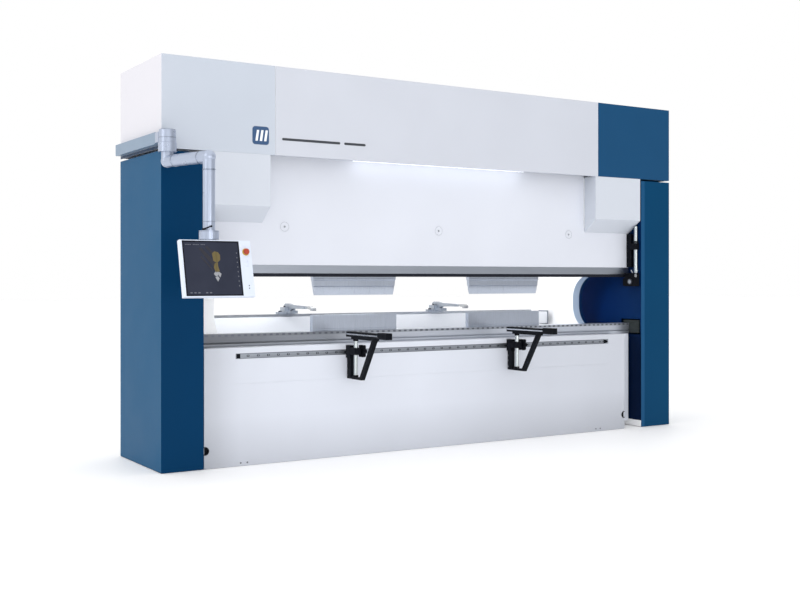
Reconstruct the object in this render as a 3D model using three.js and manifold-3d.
// Press brake: two C-frames tied by a bed in front and an oil tank on top, a ram on two hydraulic
// cylinders, sheet metal covers, a swinging operator panel, sheet supports and a backgauge.
// Millimetres, +Z up. X runs along the bending line and -Y faces the operator.
// The origin is on the floor, half way along the machine, on the front cover's bottom flange.

import * as THREE from "three";
import { mergeVertices } from "three/addons/utils/BufferGeometryUtils.js";
import Module from "manifold-3d";

const wasm = await Module();
wasm.setup();

// ---- driving dimensions ----

const HALF_LENGTH = 2410;
const HEIGHT = 2868;
const FRONT = -60; // front plane of the covers
const BACK = 824; // rear plane of the covers
const SHEET = 4; // cover thickness
const GAP = 0.3; // between pieces that are bolted together

const BEND = 140; // Y of the bending plane
const BEAM = 100; // thickness of the bed and of the ram
const BEAM_FRONT = BEND - BEAM / 2;
const BEAM_BACK = BEND + BEAM / 2;
const BEAM_HALF = 2050; // half the bending length

const FRAME_X = 1780; // inner face of a C-frame
const FRAME_T = 110;
const FRAME_BACK = 1040;
const FRAME_TOP = 2560;
const THROAT_R = 216;
const THROAT = [324, 1145]; // Y, Z of the centre of the throat's upper corner
const THROAT_DROP = 60; // straight stretch between its two corners

const BED_BOTTOM = 45;
const BED_TOP = 834;
const TABLE_HALF = 2056; // half the length of the crowning bar and of the table on it
const TABLE_JOINT = 860; // between the crowning bar and the tool clamp above it
const TABLE = 930; // face that the dies stand on
const DIE_H = 124;
const DIE_HALF_WIDTH = 20;
const VEE_HALF = 12;
const TANG_HALF = 6.5; // half width of a tool's tang
const TANG = 18; // its length

const RAM_BOTTOM = 1430;
const CLAMP_BOTTOM = 1370;
const TOOL_FACE = 1345; // face that the punches hang from
const PUNCH_TIP = 1204;
const RAM_SHOULDER = 1780; // top of the ram under the cylinders
const RAM_TOP = 2480;
const RAM_NECK = { left: 1588, right: 1517 }; // reach of the ram between the cylinders, from mid-length
const TOOL_SETS = { left: [-1155, -418], right: [291, 1028] };

const CYL_X = 1785; // cylinder axis, also in the bending plane
const CYL_R = 150;
const ROD_R = 47; // inside the ram's thickness, so that it passes the covers and frames
const SEAT_BOTTOM = 1830; // seat plate that carries a cylinder
const SEAT_TOP = 1890;

const HEADER_BOTTOM = 2224;
const HEADER_SEAM = -1553;
const HEADER_BLUE = 1547; // where the blue end cover starts
const COLUMN_TOP = 2208;
const COLUMN_INNER = { left: -2103, right: 2063 };
const SKIRT_CUT = 57; // the columns' inner walls stop this far above the floor

const COVER_X = [-2100, 1860];
const COVER_TOP = 840;
const COVER_BACK = 58;
const RAIL_X = [-1864, 1667];
const RAIL_Z = [760, 800];

const SUPPORTS = { left: -948, right: 567 };
const FINGERS = { left: -990, right: 480 };

const DRUM = [-2398, -145]; // X, Y of the pendant's main pivot
const MAST = [-2270, -565]; // X, Y of its hanging tube
const ARM_Z = 2123;
const TUBE_R = 41;
const PANEL = { width: 484, height: 373, depth: 36, top: 1577, front: -668, tilt: 13.8 };
const TILT_AXIS = [-590, 1500]; // Y, Z

// ---- colours ----

const WHITE = 0xe4e9f2;
const BLUE = 0x1c4a72;
const STEEL = 0x9aa0ac;
const DARK = 0x1c2026;

// ---- shapes ----

const box = (x0, x1, y0, y1, z0, z1) =>
  new THREE.BoxGeometry(x1 - x0, y1 - y0, z1 - z0)
    .translate((x0 + x1) / 2, (y0 + y1) / 2, (z0 + z1) / 2);

const outline = (points) => new THREE.Shape(points.map(([a, b]) => new THREE.Vector2(a, b)));

function extruded(shape, length, axes, curveSegments) {
  const shapes = new THREE.ExtrudeGeometry(shape, { depth: length, bevelEnabled: false, curveSegments });
  return shapes.applyMatrix4(new THREE.Matrix4().makeBasis(...axes));
}

const X = new THREE.Vector3(1, 0, 0);
const Y = new THREE.Vector3(0, 1, 0);
const Z = new THREE.Vector3(0, 0, 1);

// A shape drawn in Y and Z, from x0 to x1.
const alongX = (shape, x0, x1, curveSegments = 8) =>
  extruded(shape, x1 - x0, [Y, Z, X], curveSegments).translate(x0, 0, 0);

// A shape drawn in X and Z, from y0 to y1.
const alongY = (shape, y0, y1, curveSegments = 8) =>
  extruded(shape, y1 - y0, [X, Z, Y.clone().negate()], curveSegments).translate(0, y1, 0);

const rodX = (r, x0, x1, y, z, sides = 20) =>
  new THREE.CylinderGeometry(r, r, x1 - x0, sides).rotateZ(-Math.PI / 2).translate((x0 + x1) / 2, y, z);

const rodY = (r, x, y0, y1, z, sides = 20) =>
  new THREE.CylinderGeometry(r, r, y1 - y0, sides).translate(x, (y0 + y1) / 2, z);

const rodZ = (r, x, y, z0, z1, sides = 24) =>
  new THREE.CylinderGeometry(r, r, z1 - z0, sides).rotateX(Math.PI / 2).translate(x, y, (z0 + z1) / 2);

// A round bar between two points.
function rodBetween(r, from, to, sides = 24) {
  const a = new THREE.Vector3(...from);
  const b = new THREE.Vector3(...to);
  const turn = new THREE.Quaternion().setFromUnitVectors(Y, b.clone().sub(a).normalize());
  const middle = a.clone().add(b).multiplyScalar(0.5);
  return new THREE.CylinderGeometry(r, r, a.distanceTo(b), sides)
    .applyQuaternion(turn)
    .translate(middle.x, middle.y, middle.z);
}

// ---- joining and cutting ----

function solid(geometry) {
  const bare = geometry.clone();
  bare.deleteAttribute("normal");
  bare.deleteAttribute("uv");
  const merged = mergeVertices(bare, 1e-3);
  return new wasm.Manifold(new wasm.Mesh({
    numProp: 3,
    vertProperties: new Float32Array(merged.attributes.position.array),
    triVerts: new Uint32Array(merged.index.array),
  }));
}

function geometryOf(made) {
  const mesh = made.getMesh();
  const geometry = new THREE.BufferGeometry();
  geometry.setAttribute("position", new THREE.BufferAttribute(mesh.vertProperties, 3));
  geometry.setIndex(new THREE.BufferAttribute(mesh.triVerts, 1));
  return geometry;
}

const join = (...shapes) => geometryOf(shapes.map(solid).reduce((a, b) => a.add(b)));
const cut = (shape, ...tools) => geometryOf(tools.map(solid).reduce((a, b) => a.subtract(b), solid(shape)));
const common = (a, b) => geometryOf(solid(a).intersect(solid(b)));

// The same shape on the other side of the machine's middle plane.
function mirrored(geometry) {
  const flipped = geometry.clone().applyMatrix4(new THREE.Matrix4().makeScale(-1, 1, 1));
  const index = flipped.index.array;
  for (let i = 0; i < index.length; i += 3)
    [index[i + 1], index[i + 2]] = [index[i + 2], index[i + 1]];
  return flipped;
}

const press = new THREE.Group();

function add(name, geometry, color, roughness = 0.5, metalness = 0) {
  const shown = geometry.clone();
  shown.computeVertexNormals();
  const mesh = new THREE.Mesh(shown, new THREE.MeshStandardMaterial({ color, roughness, metalness }));
  mesh.name = name;
  press.add(mesh);
}

// A piece for the right-hand end and its mirror image for the left-hand end.
function addPair(name, geometry, ...look) {
  add(`${name}_left`, mirrored(geometry), ...look);
  add(`${name}_right`, geometry, ...look);
}

// ---- frames, bed and table ----

function cFrame() {
  const [throatY, throatZ] = THROAT;
  const footDepth = 230;
  const footLift = 70;
  const edge = BEAM_BACK + GAP;
  const guide = BEAM_BACK + 1; // running clearance behind the ram
  const shape = new THREE.Shape();
  shape.moveTo(edge, 0);
  shape.lineTo(edge + footDepth, 0);
  shape.lineTo(edge + footDepth, footLift);
  shape.lineTo(FRAME_BACK - footDepth, footLift);
  shape.lineTo(FRAME_BACK - footDepth, 0);
  shape.lineTo(FRAME_BACK, 0);
  shape.lineTo(FRAME_BACK, 1900);
  shape.lineTo(790, 2150);
  shape.lineTo(790, FRAME_TOP);
  shape.lineTo(300, FRAME_TOP);
  shape.lineTo(300, SEAT_TOP);
  shape.lineTo(guide, SEAT_TOP);
  shape.lineTo(guide, throatZ + THROAT_R);
  shape.lineTo(throatY, throatZ + THROAT_R);
  shape.absarc(throatY, throatZ, THROAT_R, Math.PI / 2, 0, true);
  shape.absarc(throatY, throatZ - THROAT_DROP, THROAT_R, 0, -Math.PI / 2, true);
  shape.lineTo(edge, throatZ - THROAT_DROP - THROAT_R);
  shape.closePath();
  const plate = alongX(shape, FRAME_X, FRAME_X + FRAME_T, 24);
  const seat = box(CYL_X - CYL_R, CYL_X + CYL_R, -8, 330, SEAT_BOTTOM, SEAT_TOP);
  return cut(join(plate, seat), rodZ(ROD_R + 4, CYL_X, BEND, SEAT_BOTTOM - 10, SEAT_TOP + 10, 32));
}

function crossBeam() {
  const end = FRAME_X - GAP;
  const beam = box(-end, end, 880, FRAME_BACK, 90, 250);
  return cut(beam, box(-end - 5, end + 5, 892, FRAME_BACK + 5, 102, 238));
}

function toolClampLower() {
  const past = TABLE_HALF + 5;
  const slotHalf = TANG_HALF + 0.6;
  const bar = box(-TABLE_HALF, TABLE_HALF, BEAM_FRONT, BEAM_BACK, TABLE_JOINT + 3, TABLE);
  const slot = box(-past, past, BEND - slotHalf, BEND + slotHalf, TABLE - TANG - 2, TABLE + 5);
  const relief = box(-past, past, BEAM_FRONT - 5, BEAM_FRONT + 6, TABLE_JOINT, TABLE_JOINT + 9);
  return cut(bar, slot, relief);
}

// Gear motor that moves the crowning wedges, at the table's right-hand end.
function crowningMotor() {
  const flange = box(TABLE_HALF + GAP, TABLE_HALF + 8, BEAM_FRONT - 124, BEAM_BACK - 4, 842, 926);
  const body = box(TABLE_HALF + 2, 2184, BEAM_FRONT - 124, BEND + 20, 842, 956);
  return join(flange, body, rodX(34, 2180, 2262, BEND - 60, 900));
}

add("bed_plate", box(-BEAM_HALF, BEAM_HALF, BEAM_FRONT, BEAM_BACK, BED_BOTTOM, BED_TOP - GAP), WHITE);
addPair("c_frame", cFrame(), 0xc9d2e0, 0.45);
add("rear_cross_beam", crossBeam(), WHITE);
const crowningBar = box(-TABLE_HALF, TABLE_HALF, BEAM_FRONT, BEAM_BACK, BED_TOP, TABLE_JOINT);
add("crowning_bar", crowningBar, STEEL, 0.4, 0.8);
add("lower_tool_clamp", toolClampLower(), STEEL, 0.35, 0.9);
add("crowning_motor", crowningMotor(), DARK, 0.5);

// ---- front cover and the rail in it ----

function frontCover() {
  const [x0, x1] = COVER_X;
  const hollow = box(x0 + SHEET, x1 - SHEET, FRONT + SHEET, COVER_BACK + 5, SHEET, COVER_TOP - SHEET);
  const railSlot = box(RAIL_X[0], RAIL_X[1], FRONT - 5, FRONT + SHEET + 5, RAIL_Z[0], RAIL_Z[1]);
  const flapSeam = box(RAIL_X[0] - 15, RAIL_X[1] - 6, FRONT - 5, FRONT + 1.5, 581, 585);
  const jackHoles = [x0 + 6, x1 - 8].map((x) => rodY(30, x, FRONT - 5, FRONT + SHEET + 5, 126));
  return cut(box(x0, x1, FRONT, COVER_BACK, 0, COVER_TOP), hollow, railSlot, flapSeam, ...jackHoles);
}

// T-slot rail, bolted to the bed through five spacers.
function supportRail() {
  const [x0, x1] = RAIL_X;
  const [z0, z1] = RAIL_Z;
  const middle = (z0 + z1) / 2;
  const bar = box(x0 + GAP, x1 - GAP, FRONT + 2, FRONT + 30, z0 + GAP, z1 - GAP);
  const spacers = [-1750, -900, -50, 800, 1600].map((x) =>
    box(x - 30, x + 30, FRONT + 28, BEAM_FRONT - GAP, z0 + 6, z1 - 6));
  const mouth = box(x0 + 30, x1 - 30, FRONT - 5, FRONT + 12, middle - 7, middle + 7);
  const undercut = box(x0 + 30, x1 - 30, FRONT + 10, FRONT + 20, middle - 12, middle + 12);
  return cut(join(bar, ...spacers), mouth, undercut);
}

add("front_cover", frontCover(), WHITE);
add("support_rail", supportRail(), STEEL, 0.35, 0.8);

// ---- ram ----

function ramPlate() {
  const shape = outline([
    [-BEAM_HALF, RAM_BOTTOM],
    [BEAM_HALF, RAM_BOTTOM],
    [BEAM_HALF, RAM_SHOULDER],
    [RAM_NECK.right, RAM_SHOULDER],
    [RAM_NECK.right, RAM_TOP],
    [-RAM_NECK.left, RAM_TOP],
    [-RAM_NECK.left, RAM_SHOULDER],
    [-BEAM_HALF, RAM_SHOULDER],
  ]);
  return alongY(shape, BEAM_FRONT, BEAM_BACK);
}

const upperToolClamp = () =>
  box(-BEAM_HALF, BEAM_HALF, BEAM_FRONT - 2, BEAM_BACK, CLAMP_BOTTOM, RAM_BOTTOM - GAP);

// Strip under the clamp with a slot for the punches' tangs.
function toolSlotStrip() {
  const strip = box(-BEAM_HALF, BEAM_HALF, BEAM_FRONT + 6, BEAM_BACK - 6, TOOL_FACE, CLAMP_BOTTOM - GAP);
  const half = TANG_HALF + 0.6;
  const past = BEAM_HALF + 5;
  return cut(strip, box(-past, past, BEND - half, BEND + half, TOOL_FACE - 5, TOOL_FACE + TANG + 2));
}

// The rod passes through its seat plate into the cylinder and stands on the ram's shoulder.
function pistonRod() {
  return join(rodZ(ROD_R, CYL_X, BEND, RAM_SHOULDER + GAP, 2330, 32));
}

add("ram_plate", ramPlate(), WHITE, 0.45);
add("upper_tool_clamp", upperToolClamp(), STEEL, 0.35, 0.9);
add("tool_slot_strip", toolSlotStrip(), DARK, 0.4, 0.5);
addPair("piston_rod", pistonRod(), 0xd8dde2, 0.12, 1);

// ---- hydraulics ----

function cylinder() {
  const bore = ROD_R + 1;
  const profile = [
    [bore, SEAT_TOP + GAP],
    [CYL_R - 8, SEAT_TOP + GAP],
    [CYL_R - 8, SEAT_TOP + 40],
    [CYL_R - 22, SEAT_TOP + 50],
    [CYL_R - 22, FRAME_TOP - 60],
    [CYL_R - 8, FRAME_TOP - 55],
    [CYL_R - 8, FRAME_TOP],
    [0, FRAME_TOP],
    [0, FRAME_TOP - 70],
    [bore, FRAME_TOP - 70],
    [bore, SEAT_TOP + GAP],
  ];
  return join(
    new THREE.LatheGeometry(profile.map(([r, z]) => new THREE.Vector2(r, z)), 32)
      .rotateX(Math.PI / 2)
      .translate(CYL_X, BEND, 0),
  );
}

// Oil tank that ties the two frames together above the throat.
function oilTank() {
  const end = FRAME_X - GAP;
  const lid = box(-end + 40, end - 40, 322, 786, 2496, 2508);
  return join(box(-end, end, 330, 778, 2250, 2500), lid);
}

function pumpMotor() {
  const [y, z] = [560, 2640];
  const fins = [];
  for (let x = -180; x <= 60; x += 40) fins.push(rodX(112, x, x + 22, y, z, 24));
  return join(
    rodX(100, -220, 150, y, z, 24),
    rodX(75, 145, 330, y, z, 20),
    box(-170, 60, y - 90, y + 90, 2508 + GAP, z - 60),
    box(-90, 10, y - 60, y + 60, z + 90, z + 130),
    ...fins,
  );
}

function valveBlock() {
  const coils = [-640, -560, -480].map((x) => rodZ(22, x, 560, 2635, 2700, 16));
  return join(box(-690, -430, 480, 640, 2508 + GAP, 2640), ...coils);
}

addPair("cylinder", cylinder(), 0x59616c, 0.4, 0.6);
add("hydraulic_tank", oilTank(), 0xb6bcc6);
add("pump_motor", pumpMotor(), 0x3b4756);
add("valve_block", valveBlock(), 0x8b9099, 0.4, 0.8);

// ---- covers ----

// Cover over a cylinder, beside the ram's neck; its bottom slopes back to the ram.
function housingCover(neck) {
  const inner = neck + 3;
  const side = (inset) => outline([
    [FRONT + inset, HEADER_BOTTOM - GAP + inset * 2],
    [FRONT + inset, 1850 + inset * 0.4],
    [BEAM_FRONT - 2 + inset * 3, 1740 + inset * 0.4 - inset * 1.3],
    [BEAM_FRONT - 2 + inset * 3, HEADER_BOTTOM - GAP + inset * 2],
  ].reverse());
  return cut(
    alongX(side(0), inner, BEAM_HALF),
    alongX(side(SHEET), inner + SHEET, BEAM_HALF - SHEET),
  );
}

// Header cover: a front, a top and a narrow lip under the front, with an end wall where it is an end cover.
function headerCover(x0, x1, wallLeft, wallRight) {
  const lip = 40;
  const inner0 = x0 + (wallLeft ? SHEET : -5);
  const inner1 = x1 - (wallRight ? SHEET : -5);
  return cut(
    box(x0, x1, FRONT, BACK, HEADER_BOTTOM, HEIGHT),
    box(inner0, inner1, FRONT + SHEET, BACK + 5, HEADER_BOTTOM + SHEET, HEIGHT - SHEET),
    box(inner0, inner1, FRONT + lip, BACK + 5, HEADER_BOTTOM - 5, HEADER_BOTTOM + SHEET + 5),
  );
}

function headerRearPanel() {
  const x = HALF_LENGTH - SHEET - GAP;
  const louvres = [];
  for (let row = 0; row < 5; row++)
    for (const middle of [-1450, -400, 650, 1700])
      louvres.push(box(middle - 170, middle + 170, BACK - 20, BACK + 5, 2420 + row * 50, 2436 + row * 50));
  return cut(box(-x, x, BACK - SHEET, BACK, HEADER_BOTTOM + 6, HEIGHT - SHEET - GAP), ...louvres);
}

// Column cover, open at the floor; the inner wall stops above the floor.
function columnCover(x0, x1, innerSide, openBack) {
  const inner = innerSide > 0 ? [x1 - SHEET - 5, x1 + 5] : [x0 - 5, x0 + SHEET + 5];
  return cut(
    box(x0, x1, FRONT, BACK, 0, COLUMN_TOP),
    box(x0 + SHEET, x1 - SHEET, FRONT + SHEET, BACK + (openBack ? 5 : -SHEET), -5, COLUMN_TOP - SHEET),
    box(inner[0], inner[1], FRONT + SHEET, BACK - SHEET, -5, SKIRT_CUT),
  );
}

function cabinetDoor() {
  const pan = box(COLUMN_INNER.right + 1, HALF_LENGTH - 1, BACK + 0.4, BACK + 18, 30, 2190);
  const latch = join(
    box(2082, 2102, BACK + 16, BACK + 30, 1050, 1170),
    box(2082, 2102, BACK + 28, BACK + 42, 1060, 1160),
  );
  return join(pan, latch);
}

add("housing_cover_left", mirrored(housingCover(RAM_NECK.left)), WHITE);
add("housing_cover_right", housingCover(RAM_NECK.right), WHITE);
add("header_cover_left", headerCover(-HALF_LENGTH, HEADER_SEAM - 1.5, true, false), WHITE);
add("header_cover_main", headerCover(HEADER_SEAM + 1.5, HEADER_BLUE - 1.5, false, false), WHITE);
add("header_cover_right", headerCover(HEADER_BLUE + 1.5, HALF_LENGTH, false, true), BLUE);
add("header_rear_panel", headerRearPanel(), WHITE);
add("column_cover_left", columnCover(-HALF_LENGTH, COLUMN_INNER.left, 1, false), BLUE);
const driveWindow = box(COLUMN_INNER.right - 5, COLUMN_INNER.right + SHEET + 5, -44, 196, 828, 966);
add("column_cover_right", cut(columnCover(COLUMN_INNER.right, HALF_LENGTH, -1, true), driveWindow), BLUE);
add("cabinet_door", cabinetDoor(), BLUE);
const LIGHT_BOTTOM = HEADER_BOTTOM + SHEET + GAP;
add("led_light_bar", box(-860, 790, FRONT + 26, FRONT + 96, LIGHT_BOTTOM, 2250), 0xf4f8ff, 0.3);

// ---- tools ----

// Die with a vee in its top and a tang underneath.
function dieSet([x0, x1]) {
  const top = TABLE + DIE_H;
  const base = TABLE + GAP;
  const w = DIE_HALF_WIDTH;
  const veeDepth = VEE_HALF / Math.tan(THREE.MathUtils.degToRad(42));
  const shape = outline([
    [BEND - w, base],
    [BEND - TANG_HALF, base],
    [BEND - TANG_HALF, TABLE - TANG],
    [BEND + TANG_HALF, TABLE - TANG],
    [BEND + TANG_HALF, base],
    [BEND + w, base],
    [BEND + w, top],
    [BEND + VEE_HALF, top],
    [BEND, top - veeDepth],
    [BEND - VEE_HALF, top],
    [BEND - w, top],
  ]);
  return alongX(shape, x0 - 5, x1 + 5);
}

// Punch with a tang, a shoulder, a waist and a tapered blade; its ends lean in towards the tip.
function punchSet([x0, x1]) {
  const top = TOOL_FACE - GAP;
  const half = [
    [TANG_HALF, TOOL_FACE + TANG],
    [TANG_HALF, top],
    [21, top],
    [21, top - 22],
    [15, top - 30],
    [15, 1274],
    [9, 1268],
    [9, 1240],
    [0.6, PUNCH_TIP],
  ];
  const section = outline([
    ...half.map(([y, z]) => [BEND - y, z]),
    ...half.map(([y, z]) => [BEND + y, z]).reverse(),
  ]);
  const lean = 16;
  const corner = 14;
  const face = new THREE.Shape();
  face.moveTo(x0, TOOL_FACE + TANG + 5);
  face.lineTo(x0, top);
  face.lineTo(x0 + lean, PUNCH_TIP + corner);
  face.quadraticCurveTo(x0 + lean + 3, PUNCH_TIP, x0 + lean + corner + 3, PUNCH_TIP);
  face.lineTo(x1 - lean - corner - 3, PUNCH_TIP);
  face.quadraticCurveTo(x1 - lean - 3, PUNCH_TIP, x1 - lean, PUNCH_TIP + corner);
  face.lineTo(x1, top);
  face.lineTo(x1, TOOL_FACE + TANG + 5);
  face.closePath();
  return common(alongX(section, x0 - 5, x1 + 5), alongY(face, BEND - 40, BEND + 40, 4));
}

for (const [side, span] of Object.entries(TOOL_SETS)) {
  add(`die_set_${side}`, dieSet(span), 0xa4abb5, 0.35, 0.9);
  add(`punch_set_${side}`, punchSet(span), 0xa9afb8, 0.35, 0.9);
}

// ---- optical bending guard on each end of the ram ----

const GUARD_ROD = [2035, -20]; // X, Y
const GUARD_ROD_R = 16;

function guardSlide() {
  const [x, y] = GUARD_ROD;
  const back = BEAM_FRONT - GAP;
  return join(
    box(2026, 2050, 30, back, 1434, 1735),
    box(2016, 2054, y - 20, 60, 1592, 1650),
    rodZ(GUARD_ROD_R, x, y, 1270, 1800, 24),
  );
}

function guardHead() {
  const [x, y] = GUARD_ROD;
  return cut(
    join(
      box(1992, 2055, -44, 78, 1262, 1382),
      box(2042, 2060, 60, 152, 1266, 1334),
      rodX(19, 1984, 1996, 8, 1304, 20),
      rodX(13, 2034, 2044, BEND - 14, 1300, 20),
    ),
    rodZ(GUARD_ROD_R + 0.9, x, y, 1255, 1405, 24),
  );
}

addPair("guard_slide", guardSlide(), DARK, 0.4, 0.4);
addPair("guard_head", guardHead(), DARK, 0.45);

// ---- operator panel on its arm ----

function pendantChannel() {
  const [x0, x1] = [-2456, -HALF_LENGTH - GAP];
  const bar = box(x0, x1, FRONT, 800, 2244, 2326);
  return cut(bar, box(x0 + 5, x1 + 5, FRONT + 8, 792, 2249, 2321));
}

function pendantBracket() {
  const [x, y] = DRUM;
  return join(rodZ(57, x, y, 2248, 2336, 32), box(-2456, -2346, y + 20, FRONT - GAP, 2252, 2322));
}

function pendantArm() {
  const [dx, dy] = DRUM;
  const [mx, my] = MAST;
  const elbow = (x, y) => new THREE.SphereGeometry(TUBE_R + 3, 24, 14).translate(x, y, ARM_Z);
  return join(
    rodZ(62, dx, dy, 2186, 2247.6, 32),
    rodZ(TUBE_R, dx, dy, ARM_Z, 2190),
    elbow(dx, dy),
    rodBetween(TUBE_R, [dx, dy, ARM_Z], [mx, my, ARM_Z]),
    elbow(mx, my),
    rodZ(TUBE_R - 1, mx, my, 1642, ARM_Z),
    rodZ(24, mx, my, 1602, 1650, 20),
  );
}

// Collar that turns on the mast, with the lug that the panel tilts on.
function panelYoke() {
  const [x, y] = MAST;
  const [ty, tz] = TILT_AXIS;
  const collar = rodZ(65, x, y, 1583, 1641.5, 32);
  const lug = box(x - 27, x + 27, ty - 20, y + 20, tz - 22, 1590);
  return cut(
    join(collar, lug),
    rodZ(24.6, x, y, 1600, 1650, 20),
    rodX(8.4, x - 40, x + 40, ty, tz),
  );
}

const LEVER_PIN = [-2318, -590]; // X, Y

function yokeLever() {
  const [x, y] = LEVER_PIN;
  const [tipX, tipY] = [x + 40, y - 34];
  return join(
    rodZ(9, x, y, 1641.8, 1656, 16),
    rodBetween(4.5, [x, y, 1650], [tipX, tipY, 1668], 12),
    new THREE.SphereGeometry(7, 12, 8).translate(tipX, tipY, 1668),
  );
}

// Moves a shape from the panel's own axes (front face at y = 0, top edge at z = 0) to its place.
const onPanel = (geometry) =>
  geometry.rotateX(THREE.MathUtils.degToRad(-PANEL.tilt)).translate(MAST[0], PANEL.front, PANEL.top);

const SCREEN = {
  x0: -PANEL.width / 2 + 16,
  x1: PANEL.width / 2 - 81,
  z0: -PANEL.height + 6,
  z1: -5,
  depth: 5,
};
const BUTTON = [204, -76]; // X, Z on the panel's face

function panelHousing() {
  const half = PANEL.width / 2;
  const shell = cut(
    onPanel(box(-half, half, 0, PANEL.depth, -PANEL.height, 0)),
    onPanel(box(SCREEN.x0, SCREEN.x1, -5, SCREEN.depth, SCREEN.z0, SCREEN.z1)),
    onPanel(rodY(9, BUTTON[0], -5, 20, BUTTON[1], 16)),
  );
  const back = onPanel(box(-150, 150, PANEL.depth - 2, PANEL.depth + 16, -330, -130));
  const [ty, tz] = TILT_AXIS;
  const ears = [-1, 1].map((side) => {
    const inner = MAST[0] + side * 28;
    const outer = MAST[0] + side * 44;
    const [x0, x1] = [Math.min(inner, outer), Math.max(inner, outer)];
    return join(box(x0, x1, -660, ty, tz - 16, tz + 16), rodX(16, x0, x1, ty, tz, 24));
  });
  const pin = rodX(8, MAST[0] - 44, MAST[0] + 44, ty, tz);
  return join(shell, back, ...ears, pin);
}

function panelScreen() {
  const { x0, x1, z0, z1, depth } = SCREEN;
  return onPanel(box(x0 + GAP, x1 - GAP, 0.5, depth - GAP, z0 + GAP, z1 - GAP));
}

function stopButton() {
  const [x, z] = BUTTON;
  return onPanel(join(rodY(19, x, -22, -6, z, 24), rodY(8, x, -8, 12, z, 16)));
}

add("pendant_channel", pendantChannel(), 0x9fb0c2, 0.4, 0.3);
add("pendant_bracket", pendantBracket(), 0xb9c0cf, 0.35, 0.5);
add("pendant_arm", pendantArm(), 0xb9c4dc, 0.35, 0.5);
add("panel_yoke", panelYoke(), 0xc3cbd8, 0.35, 0.5);
add("yoke_lever", yokeLever(), DARK);
add("panel_housing", panelHousing(), 0xc6d2ea, 0.4);
add("panel_screen", panelScreen(), 0x3a3d4c, 0.15);
add("estop_button", stopButton(), 0xc23a30, 0.4);

// ---- sheet supports ----

const SUPPORT_ROD_Y = -170;
const ARM_BOTTOM = 880;
const ARM_TOP = 934;
const ARM_FRONT = -642;
const RING_Z = 790;

// Carriage on the rail: a post, a tongue in the T-slot and a clamp ring for the console's rod.
function supportCarriage(x) {
  const railMiddle = (RAIL_Z[0] + RAIL_Z[1]) / 2;
  return cut(
    join(
      box(x - 15, x + 15, -120, FRONT - 4, 583, 832),
      box(x - 25, x + 17, -122, FRONT - 3, 738, 832),
      box(x - 25, x + 17, FRONT - 5, FRONT + 9, railMiddle - 6, railMiddle + 6),
      box(x - 24, x + 28, SUPPORT_ROD_Y - 26, -110, RING_Z - 26, RING_Z + 26),
    ),
    rodZ(15.6, x, SUPPORT_ROD_Y, RING_Z - 40, RING_Z + 40),
  );
}

// Console that carries the sheet: an arm on a rod, braced from the rod's foot.
function supportConsole(x) {
  const brace = outline([
    [-280, 586],
    [-240, 586],
    [-428, ARM_BOTTOM + 6],
    [-470, ARM_BOTTOM + 6],
  ].reverse());
  return join(
    box(x - 25, x + 25, ARM_FRONT, FRONT - 4, ARM_BOTTOM + 16, ARM_TOP),
    box(x - 26, x + 26, ARM_FRONT - 2, ARM_FRONT + 116, ARM_BOTTOM + 15, ARM_TOP + 8),
    box(x - 18, x + 18, -480, -130, ARM_BOTTOM, ARM_BOTTOM + 20),
    alongX(brace, x - 15, x + 15),
    box(x - 15, x + 15, -280, -130, 582, 600),
    rodZ(15, x, SUPPORT_ROD_Y, 590, ARM_BOTTOM + 5),
  );
}

function starKnob(x) {
  const lobes = 6;
  const disc = [
    rodX(34, x + 40, x + 72, SUPPORT_ROD_Y, RING_Z, 24),
    rodX(11, x + 28 + GAP, x + 42, SUPPORT_ROD_Y, RING_Z),
  ];
  for (let i = 0; i < lobes; i++) {
    const a = (i / lobes) * 2 * Math.PI;
    disc.push(rodX(14, x + 42, x + 70, SUPPORT_ROD_Y + 36 * Math.cos(a), RING_Z + 36 * Math.sin(a), 12));
  }
  return join(...disc);
}

for (const [side, x] of Object.entries(SUPPORTS)) {
  add(`support_carriage_${side}`, supportCarriage(x), DARK, 0.45, 0.3);
  add(`support_console_${side}`, supportConsole(x), DARK, 0.45, 0.3);
  add(`support_knob_${side}`, starKnob(x), DARK);
}

// ---- backgauge ----

const GAUGE_END = 1720; // half the beam's length
const GAUGE_Y = [840, 960];
const GAUGE_Z = [909, 1018];

const gaugeRail = () => box(1742, FRAME_X - GAP, 380, 1300, 630, 670);

const gaugeCarriage = () => join(
  box(1655, 1741.4, 860, 1022, 600, 700),
  box(1655, GAUGE_END, 986, 1022, 695, 905),
);

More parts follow.
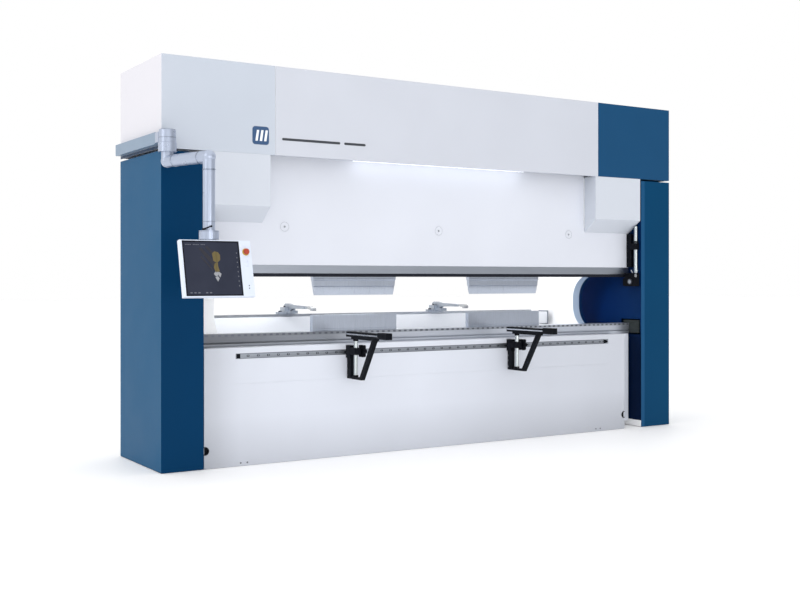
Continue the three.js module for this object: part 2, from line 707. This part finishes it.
function gaugeBeam() {
  const leg = box(1655, GAUGE_END, GAUGE_Y[1] - 2, 985.3, 754, 1010);
  return join(
    box(-GAUGE_END, GAUGE_END, ...GAUGE_Y, ...GAUGE_Z),
    box(-GAUGE_END, 1540, 852, 884, GAUGE_Z[1] - 5, 1040),
    box(-1630, 1630, GAUGE_Y[0], GAUGE_Y[0] + 14, 868, GAUGE_Z[0] + 5),
    leg,
    mirrored(join(leg)),
  );
}

const TIP_HINGE = [500, 1101]; // Y, Z

// Finger: a saddle on the beam's rail and a long slender arm towards the bending line.
function gaugeFinger(x) {
  const [hy, hz] = TIP_HINGE;
  const side = outline([
    [GAUGE_Y[0] + 6, 1040.5],
    [930, 1040.5],
    [930, 1112],
    [905, 1126],
    [850, 1126],
    [800, 1116],
    [hy - 2, hz + 7],
    [hy - 2, hz - 9],
    [780, 1084],
    [GAUGE_Y[0] + 6, 1060],
  ].reverse());
  return join(
    alongX(side, x - 14, x + 14),
    box(x - 50, x + 50, 846, 926, 1040.5, 1096),
    box(x - 30, x + 30, 762, 850, 1046, 1070),
    box(x - 105, x - 45, 856, 896, 1040.5, 1058),
    box(x - 20, x + 20, 560, 800, 1088, 1108),
    rodX(9, x - 14, x + 14, hy, hz),
    rodX(4, x - 20, x + 20, hy, hz, 12),
  );
}

// Gauge tip that folds up out of the sheet's way.
function gaugeTip(x) {
  const [hy, hz] = TIP_HINGE;
  const side = outline([
    [420, 1076],
    [420, 1098],
    [444, 1109],
    [hy - 10.5, 1112],
    [hy - 10.5, 1092],
    [468, 1086],
    [452, 1086],
    [452, 1076],
  ]);
  const cheeks = [-1, 1].map((s) => {
    const [x0, x1] = s < 0 ? [x - 20, x - 14.5] : [x + 14.5, x + 20];
    return box(x0, x1, hy - 16, hy + 8, hz - 7, hz + 9);
  });
  return cut(join(alongX(side, x - 20, x + 20), ...cheeks), rodX(4.4, x - 30, x + 30, hy, hz, 12));
}

addPair("gauge_rail", gaugeRail(), STEEL, 0.3, 0.9);
addPair("gauge_carriage", join(gaugeCarriage()), 0x6c737d, 0.4, 0.6);
add("gauge_beam", gaugeBeam(), 0xe8edf2, 0.4);
for (const [side, x] of Object.entries(FINGERS)) {
  add(`gauge_finger_${side}`, gaugeFinger(x), 0x9aa3b0, 0.35, 0.7);
  add(`gauge_tip_${side}`, gaugeTip(x), 0x7f8792, 0.3, 0.9);
}

export default press;
